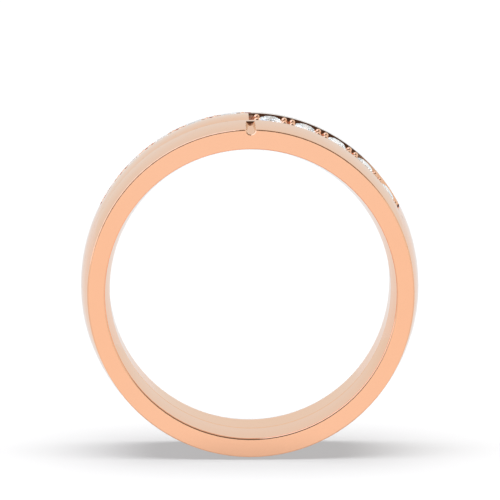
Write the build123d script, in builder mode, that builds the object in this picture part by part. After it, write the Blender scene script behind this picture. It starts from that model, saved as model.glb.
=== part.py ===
from build123d import *
from math import atan2, cos, hypot, radians, sin, tan
import os

# A two-row stone-set wedding band, in millimetres.
# The finger goes through along Y, the stones are at the top (+Z), and the origin is the bore's
# centre. The band is three hoops side by side: two outer rails and a centre band between them.
# The centre band is unchanged by half a turn about Z, and so is the whole ring: one row of
# stones is at the front of the centre band right of the top, the other at its back, left of it.

# ---- Driving dimensions ----
BAND_WIDTH = 8.1            # along the finger
CENTRE_WIDTH = 3.5          # the centre band's share of that width
BORE_RADIUS = 8.65

# Outer outlines: half the width across, height above and depth below the bore's centre.
SIDE_OUTLINE = (10.05, 10.20, 10.14)     # at the flat side faces
SEAM_OUTLINE = (10.33, 10.49, 10.20)     # where a rail meets the centre band
CREST_OUTLINE = (10.40, 10.68, 10.30)    # along the middle of the centre band
RAIL_CROWN = 0.03           # how far a rail bulges above the straight line across it

EDGE_RADIUS = 0.08          # rounding of a rail's outer edge
SHOULDER_RADIUS = 8.96      # bore radius where a rail's shoulder meets its rounded inner edge
SHOULDER_BULGE = 0.02       # how far that shoulder bulges towards the finger
INNER_EDGE_RADIUS = 0.12    # rounding of a rail's inner edge

RIB_WIDTH = 0.2             # rib between the two channels
CHANNEL_DEPTH = 0.55        # below the outer surface at the middle of a row
RIM_BEVEL_DEPTH = 0.24      # of the bevel along the top of the channel's inner wall
RIM_BEVEL_WIDTH = 0.06
CHANNEL_START = -0.45       # degrees past the top
CHANNEL_END = 61.5
STONES_PER_ROW = 5
FIRST_STONE = 6.95          # degrees from the top
STONE_PITCH = 12.12         # degrees

# The stones are round brilliants. A facet's slope is in degrees from the girdle's plane.
STONE_DIAMETER = 1.6
STONE_RECESS = 0.04         # table below the outer surface
GIRDLE_HEIGHT = 0.035
TABLE_RATIO = 0.57          # table over stone diameter, corner to corner
FACETS_ROUND = 8            # main facets round the crown, and round the pavilion
MAIN_SLOPE = 34.5
STAR_SLOPE = 21.0
UPPER_GIRDLE_SLOPE = 41.0
PAVILION_SLOPE = 40.8
LOWER_GIRDLE_SLOPE = 42.0
SEAT_CLEARANCE = 0.01       # round the stone's table, crown and girdle
SEAT_DEPTH_CLEARANCE = 0.03  # below its culet

POST_RADIUS = 0.18
POST_ALONG = 0.85           # post's distance from its stone's centre, round the ring
POST_ACROSS = 0.43          # the same along the finger
POST_RECESS = 0.03          # post's top below the outer surface
POST_ROOT = 0.75            # post's foot below the outer surface, in the metal of the floor

NOTCH_RADIUS = 0.30
NOTCH_LIP = 0.045           # width of the bevel round its mouth
NOTCH_LIP_SLOPE = 0.75      # depth of that bevel over its width
NOTCH_LENGTH = 1.9          # from the side face to the foot of its end wall
NOTCH_WALL_LEAN = 12.0      # degrees that the end wall leans back
NOTCH_FLOOR_OUTER = 9.875   # height of its floor at the side face
NOTCH_FLOOR_INNER = 10.304  # height of its floor at the end wall

# ---- Derived sizes ----
HALF_WIDTH = BAND_WIDTH / 2
HALF_CENTRE = CENTRE_WIDTH / 2
RAIL_WIDTH = HALF_WIDTH - HALF_CENTRE
ROW_OFFSET = (HALF_CENTRE + RIB_WIDTH / 2) / 2
CHANNEL_WIDTH = HALF_CENTRE - RIB_WIDTH / 2
STONE_RADIUS = STONE_DIAMETER / 2
TABLE_RADIUS = STONE_RADIUS * TABLE_RATIO
CROWN_HEIGHT = (STONE_RADIUS - TABLE_RADIUS) * tan(radians(MAIN_SLOPE))
PAVILION_DEPTH = STONE_RADIUS * tan(radians(PAVILION_SLOPE))
FACET_STEP = 360 / FACETS_ROUND
OUTSIDE = 2 * CREST_OUTLINE[1]
CUT_OVERLAP = 1.0           # how far a cutter runs past the solid that it cuts


def plane_at(y):
    """The upright plane across the finger at y, with its own x along X and its own y along Z."""
    return Plane.XZ.offset(-y)


def blend(low, high, share):
    """An outline between two others."""
    return tuple(a + (b - a) * share for a, b in zip(low, high))


def centre_outline(y):
    """The centre band's outline at y: a parabola from the crest down to the seam."""
    return blend(CREST_OUTLINE, SEAM_OUTLINE, (y / HALF_CENTRE) ** 2)


def rail_outline(share):
    """A rail's outline, from its side face at share 0 to the seam at share 1."""
    bulge = 4 * RAIL_CROWN * share * (1 - share)
    return tuple(size + bulge for size in blend(SIDE_OUTLINE, SEAM_OUTLINE, share))


def outline_sketch(plane, outline):
    """A closed outline of two half ellipses, one above the bore's centre and one below."""
    half_across, above, below = outline
    with BuildSketch(plane) as sketch:
        with BuildLine():
            EllipticalCenterArc((0, 0), half_across, above, start_angle=0, arc_size=180)
            EllipticalCenterArc((0, 0), half_across, below, start_angle=180, arc_size=180)
        make_face()
    return sketch.sketch


def outline_radius(outline, angle):
    """Distance from the bore's axis to an outline, at an angle from the top."""
    return 1 / hypot(sin(radians(angle)) / outline[0], cos(radians(angle)) / outline[1])


def set_plane(angle, side):
    """The plane on the outer surface where a stone is set, with its z out of the metal.

    side is +1 for the front row, right of the top, and -1 for the back row, left of it.
    """
    outline = centre_outline(ROW_OFFSET)
    reach = outline_radius(outline, angle)
    drop = outline_radius(CREST_OUTLINE, angle) - outline_radius(SEAM_OUTLINE, angle)
    slope = 2 * drop * ROW_OFFSET / HALF_CENTRE**2
    lean = atan2(sin(radians(angle)) / outline[0] ** 2, cos(radians(angle)) / outline[1] ** 2)
    origin = (side * reach * sin(radians(angle)), -side * ROW_OFFSET, reach * cos(radians(angle)))
    along = (side * cos(lean), 0, -sin(lean))
    outward = (side * sin(lean), -side * slope, cos(lean))
    return Plane(origin=origin, x_dir=along, z_dir=outward)


def stone_angles():
    return [FIRST_STONE + STONE_PITCH * index for index in range(STONES_PER_ROW)]


# ---- Rails ----
def notch_cutter(front):
    """The half-round notch across a rail at its top, which gets shallower towards its end wall."""
    rise = NOTCH_FLOOR_INNER - NOTCH_FLOOR_OUTER
    mouth = Vector(0, -front * HALF_WIDTH, NOTCH_FLOOR_OUTER + NOTCH_RADIUS)
    run = Vector(0, front * NOTCH_LENGTH, rise)
    start = Plane(origin=mouth, x_dir=(1, 0, 0), z_dir=run)
    side_face = Plane(origin=mouth, x_dir=(1, 0, 0), z_dir=(0, front, 0))
    lip_depth = NOTCH_LIP * NOTCH_LIP_SLOPE
    foot = Vector(0, -front * (HALF_WIDTH - NOTCH_LENGTH), NOTCH_FLOOR_INNER)
    lean = radians(NOTCH_WALL_LEAN)
    end_wall = Plane(origin=foot, x_dir=(1, 0, 0), z_dir=(0, front * cos(lean), -sin(lean)))
    from_foot = (Align.CENTER, Align.CENTER, Align.MIN)
    with BuildPart() as cutter:
        with Locations(start.offset(-CUT_OVERLAP)):
            Cylinder(NOTCH_RADIUS, 2 * CUT_OVERLAP + run.length, align=from_foot)
        with Locations(side_face.offset(-lip_depth)):
            Cone(
                NOTCH_RADIUS + 2 * NOTCH_LIP,
                NOTCH_RADIUS - NOTCH_LIP,
                3 * lip_depth,
                align=from_foot,
            )
        split(bisect_by=end_wall, keep=Keep.BOTTOM)
    return cutter.part


def rail(front):
    """One outer rail. front is +1 for the front rail and -1 for the back one."""
    side_y = -front * HALF_WIDTH
    seam_y = -front * HALF_CENTRE
    edge_y = side_y + front * INNER_EDGE_RADIUS
    sections = []
    for share in (0, 0.5, 1):
        plane = plane_at(side_y + (seam_y - side_y) * share)
        sections.append(outline_sketch(plane, rail_outline(share)))
    with BuildPart() as hoop:
        loft(sections)
        side_face = faces().sort_by(Axis.Y, reverse=front < 0)[0]
        fillet(side_face.edges(), EDGE_RADIUS)
        with BuildSketch(Plane.XY):
            with BuildLine():
                face_radius = SHOULDER_RADIUS + INNER_EDGE_RADIUS
                middle = ((BORE_RADIUS + SHOULDER_RADIUS) / 2 - SHOULDER_BULGE, (seam_y + edge_y) / 2)
                Polyline((BORE_RADIUS, seam_y), (0, seam_y), (0, side_y), (face_radius, side_y))
                RadiusArc(
                    (face_radius, side_y), (SHOULDER_RADIUS, edge_y), front * INNER_EDGE_RADIUS
                )
                ThreePointArc((SHOULDER_RADIUS, edge_y), middle, (BORE_RADIUS, seam_y))
            make_face()
        revolve(axis=Axis.Y, mode=Mode.SUBTRACT)
        add(notch_cutter(front), mode=Mode.SUBTRACT)
    return hoop


# ---- Centre band ----
def channel_sketch(side):
    """A wedge from the channel's start to its end, above the channel's floor."""
    corners = [(0, 0)]
    for angle in (CHANNEL_START, (CHANNEL_START + CHANNEL_END) / 2, CHANNEL_END):
        corners.append((side * OUTSIDE * sin(radians(angle)), OUTSIDE * cos(radians(angle))))
    half_across, above = (size - CHANNEL_DEPTH for size in centre_outline(ROW_OFFSET)[:2])
    with BuildSketch(plane_at(-side * RIB_WIDTH / 2)) as sketch:
        with BuildLine():
            Polyline(*corners, close=True)
        make_face()
        Ellipse(half_across, above, mode=Mode.SUBTRACT)
    return sketch.sketch


def seat_cutter():
    """The room that a stone needs, with its table at the origin and its clearance all round."""
    radius = STONE_RADIUS + SEAT_CLEARANCE
    girdle_foot = -CROWN_HEIGHT - GIRDLE_HEIGHT
    culet = girdle_foot - PAVILION_DEPTH - SEAT_DEPTH_CLEARANCE
    with BuildPart() as cutter:
        with BuildSketch(Plane.XZ):
            with BuildLine():
                Polyline(
                    (0, SEAT_CLEARANCE),
                    (TABLE_RADIUS + SEAT_CLEARANCE, SEAT_CLEARANCE),
                    (radius, -CROWN_HEIGHT),
                    (radius, girdle_foot),
                    (0, culet),
                    close=True,
                )
            make_face()
        revolve(axis=Axis.Z)
    return cutter.part


def centre_hoop():
    """The middle hoop: its crowned outside, bore, channels, posts and stone seats."""
    sections = []
    for share in (-1, -0.5, 0, 0.5, 1):
        y = share * HALF_CENTRE
        sections.append(outline_sketch(plane_at(y), centre_outline(y)))
    seat = seat_cutter()
    post_height = POST_ROOT - POST_RECESS - POST_RADIUS
    with BuildPart() as hoop:
        loft(sections)
        with Locations(plane_at(0)):
            Cylinder(BORE_RADIUS, CENTRE_WIDTH + CUT_OVERLAP, mode=Mode.SUBTRACT)
        for side in (1, -1):
            extrude(
                channel_sketch(side),
                amount=side * (CHANNEL_WIDTH + CUT_OVERLAP),
                mode=Mode.SUBTRACT,
            )
            wall_y = -side * RIB_WIDTH / 2
            wall = faces().filter_by_position(Axis.Y, wall_y, wall_y).sort_by(Face.area)[-1]
            rim = wall.edges().sort_by(Edge.length)[-1]
            chamfer(rim, RIM_BEVEL_DEPTH, RIM_BEVEL_WIDTH, reference=wall)
            for angle in stone_angles():
                surface = set_plane(angle, side)
                with Locations(surface.offset(-POST_ROOT + post_height / 2)):
                    with GridLocations(2 * POST_ALONG, 2 * POST_ACROSS, 2, 2):
                        Cylinder(POST_RADIUS, post_height)
                with Locations(surface.offset(-POST_RECESS - POST_RADIUS)):
                    with GridLocations(2 * POST_ALONG, 2 * POST_ACROSS, 2, 2):
                        Sphere(POST_RADIUS)
                with Locations(surface.offset(-STONE_RECESS)):
                    add(seat, mode=Mode.SUBTRACT)
    return hoop


# ---- Stones ----
def facet_plane(azimuth, slope, radius, height):
    """A facet's plane: it faces out along azimuth and is radius from the axis at height."""
    around = (cos(radians(azimuth)), sin(radians(azimuth)))
    outward = sin(radians(slope))
    return Plane(
        origin=(radius * around[0], radius * around[1], height),
        z_dir=(outward * around[0], outward * around[1], cos(radians(slope))),
    )


def brilliant_facets():
    """The planes of a round brilliant's facets, with its table at the origin."""
    half_step = FACET_STEP / 2
    girdle_corner = STONE_RADIUS * cos(radians(half_step / 2))
    girdle_foot = -CROWN_HEIGHT - GIRDLE_HEIGHT
    table_edge = TABLE_RADIUS * cos(radians(half_step))
    planes = []
    for index in range(FACETS_ROUND):
        azimuth = index * FACET_STEP
        planes.append(facet_plane(azimuth, MAIN_SLOPE, STONE_RADIUS, -CROWN_HEIGHT))
        planes.append(facet_plane(azimuth + half_step, STAR_SLOPE, table_edge, 0))
        planes.append(facet_plane(azimuth, 180 - PAVILION_SLOPE, STONE_RADIUS, girdle_foot))
        for turn in (-half_step / 2, half_step / 2):
            upper = UPPER_GIRDLE_SLOPE
            lower = 180 - LOWER_GIRDLE_SLOPE
            planes.append(facet_plane(azimuth + turn, upper, girdle_corner, -CROWN_HEIGHT))
            planes.append(facet_plane(azimuth + turn, lower, girdle_corner, girdle_foot))
    return planes


def cut_brilliant():
    """One stone, cut from a round blank facet by facet."""
    height = CROWN_HEIGHT + GIRDLE_HEIGHT + PAVILION_DEPTH
    with BuildPart() as stone:
        Cylinder(STONE_RADIUS, height, align=(Align.CENTER, Align.CENTER, Align.MAX))
        for plane in brilliant_facets():
            split(bisect_by=plane, keep=Keep.BOTTOM)
    return stone.part


# ---- Pieces ----
os.makedirs("parts", exist_ok=True)

front_rail = rail(1)
front_rail.part.label = "front_rail"
export_step(front_rail.part, "parts/front_rail.step")

back_rail = rail(-1)
back_rail.part.label = "back_rail"
export_step(back_rail.part, "parts/back_rail.step")

centre_band = centre_hoop()
centre_band.part.label = "centre_band"
export_step(centre_band.part, "parts/centre_band.step")

brilliant = cut_brilliant()
for row_name, side in (("right", 1), ("left", -1)):
    for number, angle in enumerate(stone_angles(), start=1):
        with BuildPart() as stone:
            with Locations(set_plane(angle, side).offset(-STONE_RECESS)):
                add(brilliant)
        stone.part.label = f"stone_{row_name}_{number}"
        export_step(stone.part, f"parts/stone_{row_name}_{number}.step")
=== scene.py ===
import math

import bpy
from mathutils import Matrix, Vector


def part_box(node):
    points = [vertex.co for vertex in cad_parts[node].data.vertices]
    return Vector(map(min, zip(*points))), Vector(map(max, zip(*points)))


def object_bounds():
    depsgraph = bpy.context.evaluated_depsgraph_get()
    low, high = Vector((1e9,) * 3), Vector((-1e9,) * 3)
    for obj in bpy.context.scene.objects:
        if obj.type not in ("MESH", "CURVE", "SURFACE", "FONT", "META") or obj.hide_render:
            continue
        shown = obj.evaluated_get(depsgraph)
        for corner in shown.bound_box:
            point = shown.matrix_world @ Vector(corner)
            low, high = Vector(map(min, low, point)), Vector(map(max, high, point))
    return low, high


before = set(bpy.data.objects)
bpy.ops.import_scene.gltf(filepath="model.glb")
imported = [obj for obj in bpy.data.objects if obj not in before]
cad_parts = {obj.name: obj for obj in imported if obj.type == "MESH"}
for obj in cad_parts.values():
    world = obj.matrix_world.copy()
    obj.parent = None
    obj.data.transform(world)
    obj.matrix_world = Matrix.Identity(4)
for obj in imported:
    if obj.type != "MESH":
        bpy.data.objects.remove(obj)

# A rose-gold wedding band with two rows of round brilliants, standing on a pale floor.
# Metres, in the CAD model's frame: the finger goes through along Y and the stones are at the top.

MM = 0.001
CAD_LOW, CAD_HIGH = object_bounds()

# ---- Camera settings ----
CAMERA_PITCH = math.radians(8.0)     # looking down
CAMERA_YAW = math.radians(1.09)      # standing a little to the left
CAMERA_DISTANCE = 1.3
VIEW_WIDTH = 0.03072                 # what the picture spans at that distance
SENSOR_WIDTH = 36.0                  # millimetres
CLIP_START = 0.01
CLIP_END = 20.0
AIM = Vector((-0.00005, CAD_LOW.y + 0.00038, 0.00268))  # shown at the picture's centre

# ---- Metal ----
GOLD = (0.98, 0.525, 0.312)
GOLD_EDGE_TINT = (1.0, 0.90, 0.80, 1)  # of the reflection at a grazing angle
CLOUD_SIZE = 1.6 * MM                # broad, faint patches of colour
CLOUD_DEEP = 0.988                   # their darkest and palest, as shares of the gold's colour
CLOUD_PALE = 1.012
WEAR_SIZE = 0.35 * MM                # patches of duller and brighter polish
WEAR_DETAIL = 8.0
WEAR_SPAN = (0.3, 0.7)               # the noise values taken as smoothest and dullest
POLISH_ROUGHNESS = (0.035, 0.065)    # from the smoothest to the dullest spot
GRAIN_SIZE = 0.05 * MM               # fine polishing grain, in the bump
GRAIN_DETAIL = 6.0
GRAIN_STRENGTH = 0.02
GRAIN_HEIGHT = 0.002 * MM
SIDE_COAT = 0.3                      # clear coat at the ring's left and right
TOP_COAT = 1.0                       # clear coat at its top and bottom
COAT_SPAN = (0.2, 0.95)              # height over radius, where it changes from one to the other
COAT_ROUGHNESS = 0.04
BORE_EDGE = (8.652 * MM, 8.675 * MM)  # the coat fades in between these radii: the bore has none

# ---- Metal inside the channels ----
CENTRE_CROWN = 0.19 * MM             # how far the centre band's outline falls from crest to seam
CHANNEL_LOWEST = 9.2 * MM            # nothing inside this radius belongs to a channel
RECESS_ROUGHNESS = 0.45              # added there, below the polishing wheel's reach
RECESS_GOLD = (0.97, 0.66, 0.50)     # paler gold painted into the sunk channels: a painted brightening
RECESS_DEPTH = (0.18 * MM, 0.35 * MM)  # depth where the duller finish and the paler paint begin and where they are full
START_REACH = 0.19 * MM              # either side of the top, where the channels start,
START_DEEPER = 0.16 * MM             # it begins nearer to the surface by this much
PAINTED_SHADE_REACH = 1.475 * MM                 # along the finger, where the painted shade beside a rail begins
PAINTED_SHADE_FACING = 0.5                 # how squarely a surface there faces the rail
# painted shade: dark brown on faces beside a rail that face along the finger
PAINTED_SHADE_COLOR = (0.07, 0.035, 0.022)

# ---- Notches in the rails ----
NOTCH_HALF_WIDTH = 0.40 * MM
NOTCH_FLOOR = 9.75 * MM              # nothing below this height belongs to a notch
NOTCH_EASE = 0.85                    # how far the notch's round floor is polished flat across
NOTCH_FACING = 0.45                  # the lip and end wall face along the finger more than this

# ---- Stones ----
GLINT = 0.4                          # the brightest facet's emission: a painted glint
GLINT_SPAN = (0.55, 1.0)             # random number of a facet with none, and of the brightest
GLINT_STEP = 0.05                    # a facet's normal is rounded to this before it picks its number
GLINT_COLOR = (0.95, 0.98, 1, 1)
DIAMOND_COLOR = (0.97, 0.99, 1, 1)
DIAMOND_IOR = 2.42

# ---- Floor and overhead light ----
FLOOR_HALF = 2.0
FLOOR_GLOW = 0.468                   # what the floor shows in the ring's full shadow
FLOOR_ALBEDO = 0.05
FLOOR_TINT = (1.0, 0.985, 0.99)
FRONT_SHARE = 0.94                   # brightness of the floor in front of the ring, where it mirrors it
BACK_SHARE = 0.82                    # the same behind the ring and to its sides
BACK_TINT = (0.95, 1.015, 1.06)      # colour of that darker floor
BACK_EDGE = (-0.006, 0.002)          # along the finger, where the mirrored floor gets darker
SIDE_EDGE = (0.012, 0.03)            # across, where it does
LIGHT_HEIGHT = 0.5
LIGHT_SPREAD = 0.66                  # half the light's width over its height
LIGHT_GLOW = 0.55                    # what the light adds to the floor

# ---- World ----
# Its places are parts of a unit direction: x to the right, y away from the camera, z up.
WALL_COLOR = (0.82, 0.865, 0.865)
BACKDROP_COLOR = (1.02, 1.01, 1.01)  # what the camera sees past the floor
FRONT_COLOR = (0.07, 0.05, 0.04)     # the dark front of the room, on the camera's side
FRONT_EDGE = (-0.42, -0.2)           # y, where the dark front ends overhead
FRONT_FOOT = (-0.03, 0.1)            # z of its soft lower edge straight ahead
FRONT_RISE = 0.45                    # how steeply that edge rises towards the right
STRIP_PLACE = -0.68                  # y of the paler arch across the dark front
STRIP_HALF = (0.09, 0.2)             # its half-width, and that with its soft edge
STRIP_SHADE = 0.7                    # how dark the arch is, as a share of the dark front
PANEL_COLOR = (1.3, 1.55, 2.0)       # the bright panel high up on the left
PANEL_FOOT = (-0.02, 0.08)           # z of its lower edge
PANEL_SIDE = (-0.1, -0.02)           # x of its right edge
PANEL_NEAR = (-0.7, -0.55)           # y of its edge towards the camera
PANEL_FAR = (0.4, 0.55)              # y of its edge away from the camera


# ---- Node helpers ----
def new_material(name):
    """A new material, with its nodes and links."""
    material = bpy.data.materials.new(name)
    material.use_nodes = True
    return material, material.node_tree.nodes, material.node_tree.links


def between(nodes, links, source, span, result, smooth=True):
    """source mapped from the two values of span to the two values of result."""
    ranged = nodes.new("ShaderNodeMapRange")
    ranged.interpolation_type = "SMOOTHSTEP" if smooth else "LINEAR"
    for name, value in zip(("From Min", "From Max", "To Min", "To Max"), (*span, *result)):
        ranged.inputs[name].default_value = value
    links.new(source, ranged.inputs["Value"])
    return ranged.outputs["Result"]


def combine(nodes, links, operation, *operands):
    """A math node on numbers or sockets."""
    node = nodes.new("ShaderNodeMath")
    node.operation = operation
    for socket, value in zip(node.inputs, operands):
        if isinstance(value, (int, float)):
            socket.default_value = value
        else:
            links.new(value, socket)
    return node.outputs["Value"]


def position(nodes, links, output="Object"):
    """The x, y and z of a texture coordinate."""
    place = nodes.new("ShaderNodeTexCoord")
    split = nodes.new("ShaderNodeSeparateXYZ")
    links.new(place.outputs[output], split.inputs["Vector"])
    return place.outputs[output], [split.outputs[axis] for axis in "XYZ"]


def noise(nodes, links, vector, size, detail=4.0):
    """Noise whose patches are about size metres across."""
    texture = nodes.new("ShaderNodeTexNoise")
    texture.inputs["Scale"].default_value = 1 / size
    texture.inputs["Detail"].default_value = detail
    links.new(vector, texture.inputs["Vector"])
    return texture.outputs["Fac"]


def tinted(nodes, links, share, low, high):
    """A colour between low and high."""
    mix = nodes.new("ShaderNodeMix")
    mix.data_type = "RGBA"
    mix.inputs["A"].default_value = (*low, 1)
    mix.inputs["B"].default_value = (*high, 1)
    links.new(share, mix.inputs["Factor"])
    return mix.outputs["Result"]


# ---- Camera ----
def make_camera():
    """The photo's view: a distant, narrow one, looking a little down."""
    direction = Vector((
        math.sin(CAMERA_YAW) * math.cos(CAMERA_PITCH),
        math.cos(CAMERA_YAW) * math.cos(CAMERA_PITCH),
        -math.sin(CAMERA_PITCH),
    ))
    data = bpy.data.cameras.new("camera")
    data.sensor_width = SENSOR_WIDTH
    data.lens = SENSOR_WIDTH * CAMERA_DISTANCE / VIEW_WIDTH
    data.clip_start = CLIP_START
    data.clip_end = CLIP_END
    camera = bpy.data.objects.new("camera", data)
    camera.location = AIM - direction * CAMERA_DISTANCE
    camera.rotation_euler = direction.to_track_quat("-Z", "Y").to_euler()
    bpy.context.scene.collection.objects.link(camera)
    bpy.context.scene.camera = camera


# ---- Materials ----
def recess_depth(nodes, links, across, along, up):
    """How far a point lies below the centre band's crowned outline."""
    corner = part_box("centre_band")[1]
    share = combine(nodes, links, "POWER", combine(nodes, links, "DIVIDE", along, corner.y), 2)
    fall = combine(nodes, links, "MULTIPLY", share, CENTRE_CROWN)
    height = combine(nodes, links, "SUBTRACT", corner.z, fall)
    level = combine(nodes, links, "DIVIDE", up, height)
    side = combine(nodes, links, "DIVIDE", across, corner.x)
    square = combine(nodes, links, "ADD", combine(nodes, links, "POWER", level, 2),
                     combine(nodes, links, "POWER", side, 2))
    inset = combine(nodes, links, "SUBTRACT", 1.0, combine(nodes, links, "SQRT", square))
    return combine(nodes, links, "MULTIPLY", inset, corner.z)


def recess_finish_and_painted_shade(nodes, links, place, radius, facing, color, roughness):
    """The colour and roughness of the centre band: its channels are duller, with paler gold painted in
    as a brightening, and faces beside the rails carry painted shade in dark brown.
    """
    across, along, up = place
    middle = combine(nodes, links, "ABSOLUTE", across)
    start = combine(nodes, links, "LESS_THAN", middle, START_REACH)
    depth = combine(nodes, links, "ADD", recess_depth(nodes, links, across, along, up),
                    combine(nodes, links, "MULTIPLY", start, START_DEEPER))
    in_channel = combine(nodes, links, "GREATER_THAN", radius, CHANNEL_LOWEST)
    sunk = combine(nodes, links, "MULTIPLY",
                   between(nodes, links, depth, RECESS_DEPTH, (0, 1)), in_channel)
    roughness = combine(nodes, links, "ADD", roughness,
                        combine(nodes, links, "MULTIPLY", sunk, RECESS_ROUGHNESS))
    # Painted brightening: the sunk metal's colour is mixed towards paler gold.
    painted_pale = tinted(nodes, links, sunk, GOLD, RECESS_GOLD)
    links.new(color, painted_pale.node.inputs["A"])

    # Painted shade: faces beside a rail that face along the finger are painted dark brown.
    beside_rail = combine(nodes, links, "GREATER_THAN",
                          combine(nodes, links, "ABSOLUTE", along), PAINTED_SHADE_REACH)
    faces_rail = combine(nodes, links, "GREATER_THAN",
                         combine(nodes, links, "ABSOLUTE", facing["Y"]), PAINTED_SHADE_FACING)
    painted_shade = combine(nodes, links, "MULTIPLY", beside_rail, faces_rail)
    dark = tinted(nodes, links, painted_shade, GOLD, PAINTED_SHADE_COLOR)
    links.new(painted_pale, dark.node.inputs["A"])
    return dark, roughness


def eased_normal(nodes, links, across, up, facing):
    """The surface's normal, turned towards flat across on the floor of a notch."""
    near_middle = combine(nodes, links, "LESS_THAN",
                          combine(nodes, links, "ABSOLUTE", across), NOTCH_HALF_WIDTH)
    near_top = combine(nodes, links, "MULTIPLY", near_middle,
                       combine(nodes, links, "GREATER_THAN", up, NOTCH_FLOOR))
    sideways = combine(nodes, links, "LESS_THAN",
                       combine(nodes, links, "ABSOLUTE", facing["Y"]), NOTCH_FACING)
    notch = combine(nodes, links, "MULTIPLY", near_top, sideways)
    kept = combine(nodes, links, "SUBTRACT", 1.0,
                   combine(nodes, links, "MULTIPLY", notch, NOTCH_EASE))
    flat = nodes.new("ShaderNodeCombineXYZ")
    links.new(combine(nodes, links, "MULTIPLY", facing["X"], kept), flat.inputs["X"])
    links.new(facing["Y"], flat.inputs["Y"])
    links.new(facing["Z"], flat.inputs["Z"])
    unit = nodes.new("ShaderNodeVectorMath")
    unit.operation = "NORMALIZE"
    links.new(flat.outputs["Vector"], unit.inputs[0])
    return unit.outputs["Vector"]


def rose_gold(name, recessed):
    """Polished rose gold, for the rails, or with recessed for the centre band."""
    material, nodes, links = new_material(name)
    shader = nodes["Principled BSDF"]
    shader.inputs["Metallic"].default_value = 1.0
    shader.inputs["Specular Tint"].default_value = GOLD_EDGE_TINT
    vector, place = position(nodes, links)
    across, _, up = place
    square = combine(nodes, links, "ADD", combine(nodes, links, "POWER", across, 2),
                     combine(nodes, links, "POWER", up, 2))
    radius = combine(nodes, links, "SQRT", square)
    height = combine(nodes, links, "ABSOLUTE", combine(nodes, links, "DIVIDE", up, radius))
    coat = between(nodes, links, height, COAT_SPAN, (SIDE_COAT, TOP_COAT))
    off_bore = between(nodes, links, radius, BORE_EDGE, (0, 1))
    links.new(combine(nodes, links, "MULTIPLY", coat, off_bore), shader.inputs["Coat Weight"])
    shader.inputs["Coat Roughness"].default_value = COAT_ROUGHNESS

    facing = nodes.new("ShaderNodeSeparateXYZ")
    geometry = nodes.new("ShaderNodeNewGeometry")
    links.new(geometry.outputs["Normal"], facing.inputs["Vector"])

    pale = tuple(min(1.0, part * CLOUD_PALE) for part in GOLD)
    deep = tuple(part * CLOUD_DEEP for part in GOLD)
    color = tinted(nodes, links, noise(nodes, links, vector, CLOUD_SIZE), deep, pale)
    wear = noise(nodes, links, vector, WEAR_SIZE, WEAR_DETAIL)
    roughness = between(nodes, links, wear, WEAR_SPAN, POLISH_ROUGHNESS, smooth=False)
    if recessed:
        color, roughness = recess_finish_and_painted_shade(nodes, links, place, radius, facing.outputs,
                                         color, roughness)
    links.new(color, shader.inputs["Base Color"])
    links.new(roughness, shader.inputs["Roughness"])

    bump = nodes.new("ShaderNodeBump")
    links.new(eased_normal(nodes, links, across, up, facing.outputs), bump.inputs["Normal"])
    bump.inputs["Strength"].default_value = GRAIN_STRENGTH
    bump.inputs["Distance"].default_value = GRAIN_HEIGHT
    grain = noise(nodes, links, vector, GRAIN_SIZE, GRAIN_DETAIL)
    links.new(grain, bump.inputs["Height"])
    links.new(bump.outputs["Normal"], shader.inputs["Normal"])
    return material


def diamond():
    """Clear cut stone, with a painted glint on some facets, chosen by their direction: they glow by
    emission.
    """
    material, nodes, links = new_material("diamond")
    shader = nodes["Principled BSDF"]
    shader.inputs["Transmission Weight"].default_value = 1.0
    shader.inputs["IOR"].default_value = DIAMOND_IOR
    shader.inputs["Roughness"].default_value = 0.0
    shader.inputs["Coat Weight"].default_value = 1.0
    shader.inputs["Coat IOR"].default_value = DIAMOND_IOR
    shader.inputs["Coat Roughness"].default_value = 0.0
    shader.inputs["Base Color"].default_value = DIAMOND_COLOR
    shader.inputs["Emission Color"].default_value = GLINT_COLOR
    geometry = nodes.new("ShaderNodeNewGeometry")
    glint = nodes.new("ShaderNodeTexWhiteNoise")
    glint.noise_dimensions = "3D"
    snap = nodes.new("ShaderNodeVectorMath")
    snap.operation = "SNAP"
    snap.inputs[1].default_value = (GLINT_STEP,) * 3
    links.new(geometry.outputs["True Normal"], snap.inputs[0])
    links.new(snap.outputs["Vector"], glint.inputs["Vector"])
    links.new(between(nodes, links, glint.outputs["Value"], GLINT_SPAN, (0, GLINT)),
              shader.inputs["Emission Strength"])
    return material


def dress(nodes_by_name):
    """Give every CAD node its finish."""
    band = rose_gold("polished_rose_gold", recessed=True)
    rail = rose_gold("polished_rose_gold_rail", recessed=False)
    stone = diamond()
    for name, piece in nodes_by_name.items():
        finish = rail
        if name.startswith("stone"):
            finish = stone
        elif name.startswith("centre"):
            finish = band
        for slot in piece.material_slots:
            slot.material = finish


# ---- Studio ----
def light_shortfall(nodes, links, across, along):
    """How much less the overhead disk adds to the floor away from its foot, by its view factor."""
    tall, wide = LIGHT_HEIGHT**2, (LIGHT_SPREAD * LIGHT_HEIGHT)**2
    away = combine(nodes, links, "ADD", combine(nodes, links, "POWER", across, 2),
                   combine(nodes, links, "POWER", along, 2))
    total = combine(nodes, links, "POWER", combine(nodes, links, "ADD", away, tall + wide), 2)
    overlap = combine(nodes, links, "MULTIPLY", away, 4 * wide)
    root = combine(nodes, links, "SQRT", combine(nodes, links, "SUBTRACT", total, overlap))
    lack = combine(nodes, links, "DIVIDE", combine(nodes, links, "ADD", away, tall - wide), root)
    factor = combine(nodes, links, "MULTIPLY", combine(nodes, links, "SUBTRACT", 1.0, lack), 0.5)
    share = combine(nodes, links, "DIVIDE", factor, wide / (tall + wide))
    missing = combine(nodes, links, "SUBTRACT", 1.0, share)
    return combine(nodes, links, "MULTIPLY", missing, LIGHT_GLOW)


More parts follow.
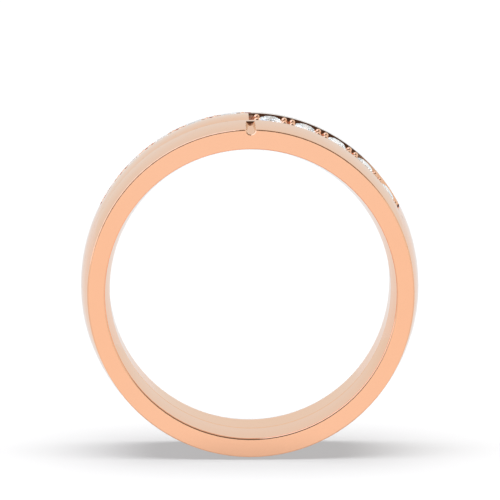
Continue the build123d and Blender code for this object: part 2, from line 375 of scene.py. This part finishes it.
def make_floor():
    """A plain pale floor, evenly bright to the camera and a little darker where the ring mirrors it."""
    z = CAD_LOW.z
    mesh = bpy.data.meshes.new("floor")
    corners = [(-FLOOR_HALF, -FLOOR_HALF, z), (FLOOR_HALF, -FLOOR_HALF, z),
               (FLOOR_HALF, FLOOR_HALF, z), (-FLOOR_HALF, FLOOR_HALF, z)]
    mesh.from_pydata(corners, [], [(0, 1, 2, 3)])
    material, nodes, links = new_material("floor")
    shader = nodes["Principled BSDF"]
    shader.inputs["Roughness"].default_value = 1.0
    shader.inputs["Specular IOR Level"].default_value = 0.0
    _, (across, along, _) = position(nodes, links)
    mirrored = between(nodes, links, along, BACK_EDGE, (FRONT_SHARE, BACK_SHARE))
    off_side = between(nodes, links, combine(nodes, links, "ABSOLUTE", across), SIDE_EDGE,
                       (FRONT_SHARE, BACK_SHARE))
    mirrored = combine(nodes, links, "MINIMUM", mirrored, off_side)
    direct = nodes.new("ShaderNodeLightPath").outputs["Is Camera Ray"]
    share = combine(nodes, links, "MAXIMUM", mirrored, direct)
    glow = combine(nodes, links, "ADD", FLOOR_GLOW, light_shortfall(nodes, links, across, along))
    links.new(combine(nodes, links, "MULTIPLY", share, glow), shader.inputs["Emission Strength"])
    behind = between(nodes, links, share, (FRONT_SHARE, BACK_SHARE), (0, 1))
    links.new(tinted(nodes, links, behind, FLOOR_TINT, BACK_TINT), shader.inputs["Emission Color"])
    tint = nodes.new("ShaderNodeCombineColor")
    for channel in ("Red", "Green", "Blue"):
        links.new(combine(nodes, links, "MULTIPLY", share, FLOOR_ALBEDO), tint.inputs[channel])
    links.new(tint.outputs["Color"], shader.inputs["Base Color"])
    mesh.materials.append(material)
    floor = bpy.data.objects.new("floor", mesh)
    bpy.context.scene.collection.objects.link(floor)
    return floor


def make_world():
    """A pale studio, dark on the camera's side, with a bright panel at the upper left."""
    world = bpy.data.worlds.new("studio")
    world.use_nodes = True
    nodes, links = world.node_tree.nodes, world.node_tree.links
    _, (x, y, z) = position(nodes, links, "Generated")
    off_strip = combine(nodes, links, "ABSOLUTE", combine(nodes, links, "SUBTRACT", y, STRIP_PLACE))
    strip = between(nodes, links, off_strip, STRIP_HALF, (STRIP_SHADE, 1))
    front = combine(nodes, links, "MULTIPLY", between(nodes, links, y, FRONT_EDGE, (1, 0)), strip)
    aside = combine(nodes, links, "MULTIPLY", combine(nodes, links, "MAXIMUM", x, 0), FRONT_RISE)
    high = between(nodes, links, combine(nodes, links, "SUBTRACT", z, aside), FRONT_FOOT, (0, 1))
    dark = combine(nodes, links, "MULTIPLY", high, front)
    above = between(nodes, links, z, PANEL_FOOT, (0, 1))
    left = between(nodes, links, x, PANEL_SIDE, (1, 0))
    middle = combine(nodes, links, "MULTIPLY", between(nodes, links, y, PANEL_NEAR, (0, 1)),
                     between(nodes, links, y, PANEL_FAR, (1, 0)))
    panel = combine(nodes, links, "MULTIPLY", combine(nodes, links, "MULTIPLY", left, middle), above)
    room = tinted(nodes, links, dark, WALL_COLOR, FRONT_COLOR)
    lit = tinted(nodes, links, panel, WALL_COLOR, PANEL_COLOR)
    links.new(room, lit.node.inputs["A"])
    direct = nodes.new("ShaderNodeLightPath").outputs["Is Camera Ray"]
    seen = tinted(nodes, links, direct, WALL_COLOR, BACKDROP_COLOR)
    links.new(lit, seen.node.inputs["A"])
    links.new(seen, nodes["Background"].inputs["Color"])
    bpy.context.scene.world = world


def make_light(floor):
    """A soft round light overhead, for the floor alone: it gives the ring its grey shadow."""
    data = bpy.data.lights.new("overhead", "AREA")
    data.shape = "DISK"
    data.size = 2 * LIGHT_SPREAD * LIGHT_HEIGHT
    solid_angle_share = LIGHT_SPREAD**2 / (1 + LIGHT_SPREAD**2)
    radiance = LIGHT_GLOW / FLOOR_ALBEDO / solid_angle_share
    data.energy = radiance * math.pi * math.pi * (data.size / 2) ** 2
    light = bpy.data.objects.new("overhead", data)
    light.location = (0, 0, CAD_LOW.z + LIGHT_HEIGHT)
    bpy.context.scene.collection.objects.link(light)
    lit = bpy.data.collections.new("lit_by_overhead")
    lit.objects.link(floor)
    light.light_linking.receiver_collection = lit


make_camera()
dress(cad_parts)
make_light(make_floor())
make_world()
bpy.context.scene.view_settings.view_transform = "Standard"
